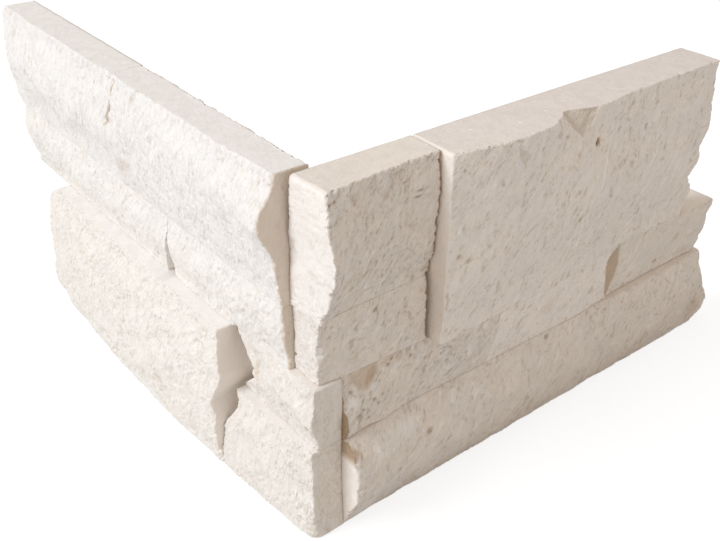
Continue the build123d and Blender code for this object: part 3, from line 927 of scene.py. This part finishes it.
panel = tree_of(finishes)
for seed, (name, finish) in enumerate(finishes.items()):
    stone = Stone(name, finish, seed + 1)
    piece = bpy.data.objects.new(name + "_hewn", stone_mesh(stone))
    bpy.context.scene.collection.objects.link(piece)
    piece.data.materials.append(limestone(name + "_limestone", finish, stone.right))
    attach(piece, "root")
    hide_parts(name)

# Stage: half the floor's width and its drop in metres, the floor's own shade and glow, and the world's
# strength, each first for light on the panel and then as the camera sees it
FLOOR_HALF = 4.0
FLOOR_DROP = 0.0002
FLOOR_SHADE = 0.69, 0.3
FLOOR_GLOW = 0.0, 0.78
WORLD_STRENGTH = 0.67, 1.0
WORLD_HUE = (1, 0.93, 0.86, 1)
WHITE_HUE = (1, 1, 1, 1)

# Key light: its strength, colour, spread, and where it comes from, in degrees
KEY_ENERGY = 2.06
KEY_COLOUR = (0.84, 0.915, 1.0)
KEY_SPREAD = 28
KEY_AZIMUTH = -14
KEY_ELEVATION = 33

# Camera: its place, its turn, tilt and roll in degrees, its lens and sensor, and its near limit in metres
CAMERA_PLACE = (-167.28, -232.06, 290.54)
CAMERA_YAW = 38.990
CAMERA_PITCH = 31.979
CAMERA_ROLL = 0.991
LENS = 47.777
SENSOR = 36
NEAR_LIMIT = 0.01


def floor():
    """Wide pale floor that shows white to the camera and keeps the panel's shadow."""
    half = FLOOR_HALF
    mesh = bpy.data.meshes.new("floor")
    corners = [(-half, -half, 0), (half, -half, 0), (half, half, 0), (-half, half, 0)]
    mesh.from_pydata(corners, [], [(0, 1, 2, 3)])
    made = bpy.data.objects.new("floor", mesh)
    bpy.context.scene.collection.objects.link(made)
    made.location.z = -FLOOR_DROP
    material = bpy.data.materials.new("floor_white")
    wiring = Wiring(material)
    wiring.nodes.remove(wiring.nodes["Principled BSDF"])
    seen = wiring.seen()
    pale = wiring.add("BsdfDiffuse", {"Color": wiring.ramp(seen, 0, 1, *FLOOR_SHADE)})
    glow = wiring.add("Emission", {"Strength": wiring.ramp(seen, 0, 1, *FLOOR_GLOW)})
    both = wiring.add("AddShader", {0: pale.outputs[0], 1: glow.outputs[0]})
    wiring.put(both.outputs[0], wiring.nodes["Material Output"].inputs["Surface"])
    mesh.materials.append(material)


def world():
    """Even fill light, seen as white by the camera."""
    made = bpy.data.worlds.new("studio")
    bpy.context.scene.world = made
    wiring = Wiring(made)
    background = wiring.nodes["Background"]
    seen = wiring.seen()
    wiring.put(wiring.ramp(seen, 0, 1, *WORLD_STRENGTH), background.inputs["Strength"])
    wiring.put(wiring.mix(seen, WORLD_HUE, WHITE_HUE), background.inputs["Color"])


def key_light():
    """Plain soft light from the left, a little before the right leg's face."""
    made = bpy.data.objects.new("key", bpy.data.lights.new("key", "SUN"))
    made.data.energy = KEY_ENERGY
    made.data.color = KEY_COLOUR
    made.data.angle = radians(KEY_SPREAD)
    azimuth, elevation = radians(KEY_AZIMUTH), radians(KEY_ELEVATION)
    towards = Vector((-cos(azimuth) * cos(elevation), -sin(azimuth) * cos(elevation), sin(elevation)))
    made.rotation_euler = towards.to_track_quat("Z", "Y").to_euler()
    bpy.context.scene.collection.objects.link(made)


def camera():
    """The photograph's view, recovered from the panel's beds, backs and corner."""
    yaw, pitch, roll = radians(CAMERA_YAW), radians(CAMERA_PITCH), radians(CAMERA_ROLL)
    place = Vector(CAMERA_PLACE) * MM
    ahead = Vector((sin(yaw) * cos(pitch), cos(yaw) * cos(pitch), -sin(pitch)))
    right = Vector((cos(yaw), -sin(yaw), 0))
    up = right.cross(ahead)
    tilted_right = cos(roll) * right + sin(roll) * up
    tilted_up = cos(roll) * up - sin(roll) * right
    made = bpy.data.objects.new("camera", bpy.data.cameras.new("camera"))
    made.data.sensor_fit = "HORIZONTAL"
    made.data.sensor_width = SENSOR
    made.data.lens = LENS
    made.data.clip_start = NEAR_LIMIT
    turn = Matrix((tilted_right, tilted_up, -ahead)).transposed().to_4x4()
    made.matrix_world = Matrix.Translation(place) @ turn
    bpy.context.scene.collection.objects.link(made)
    bpy.context.scene.camera = made


floor()
world()
key_light()
camera()
bpy.context.scene.view_settings.view_transform = "Standard"
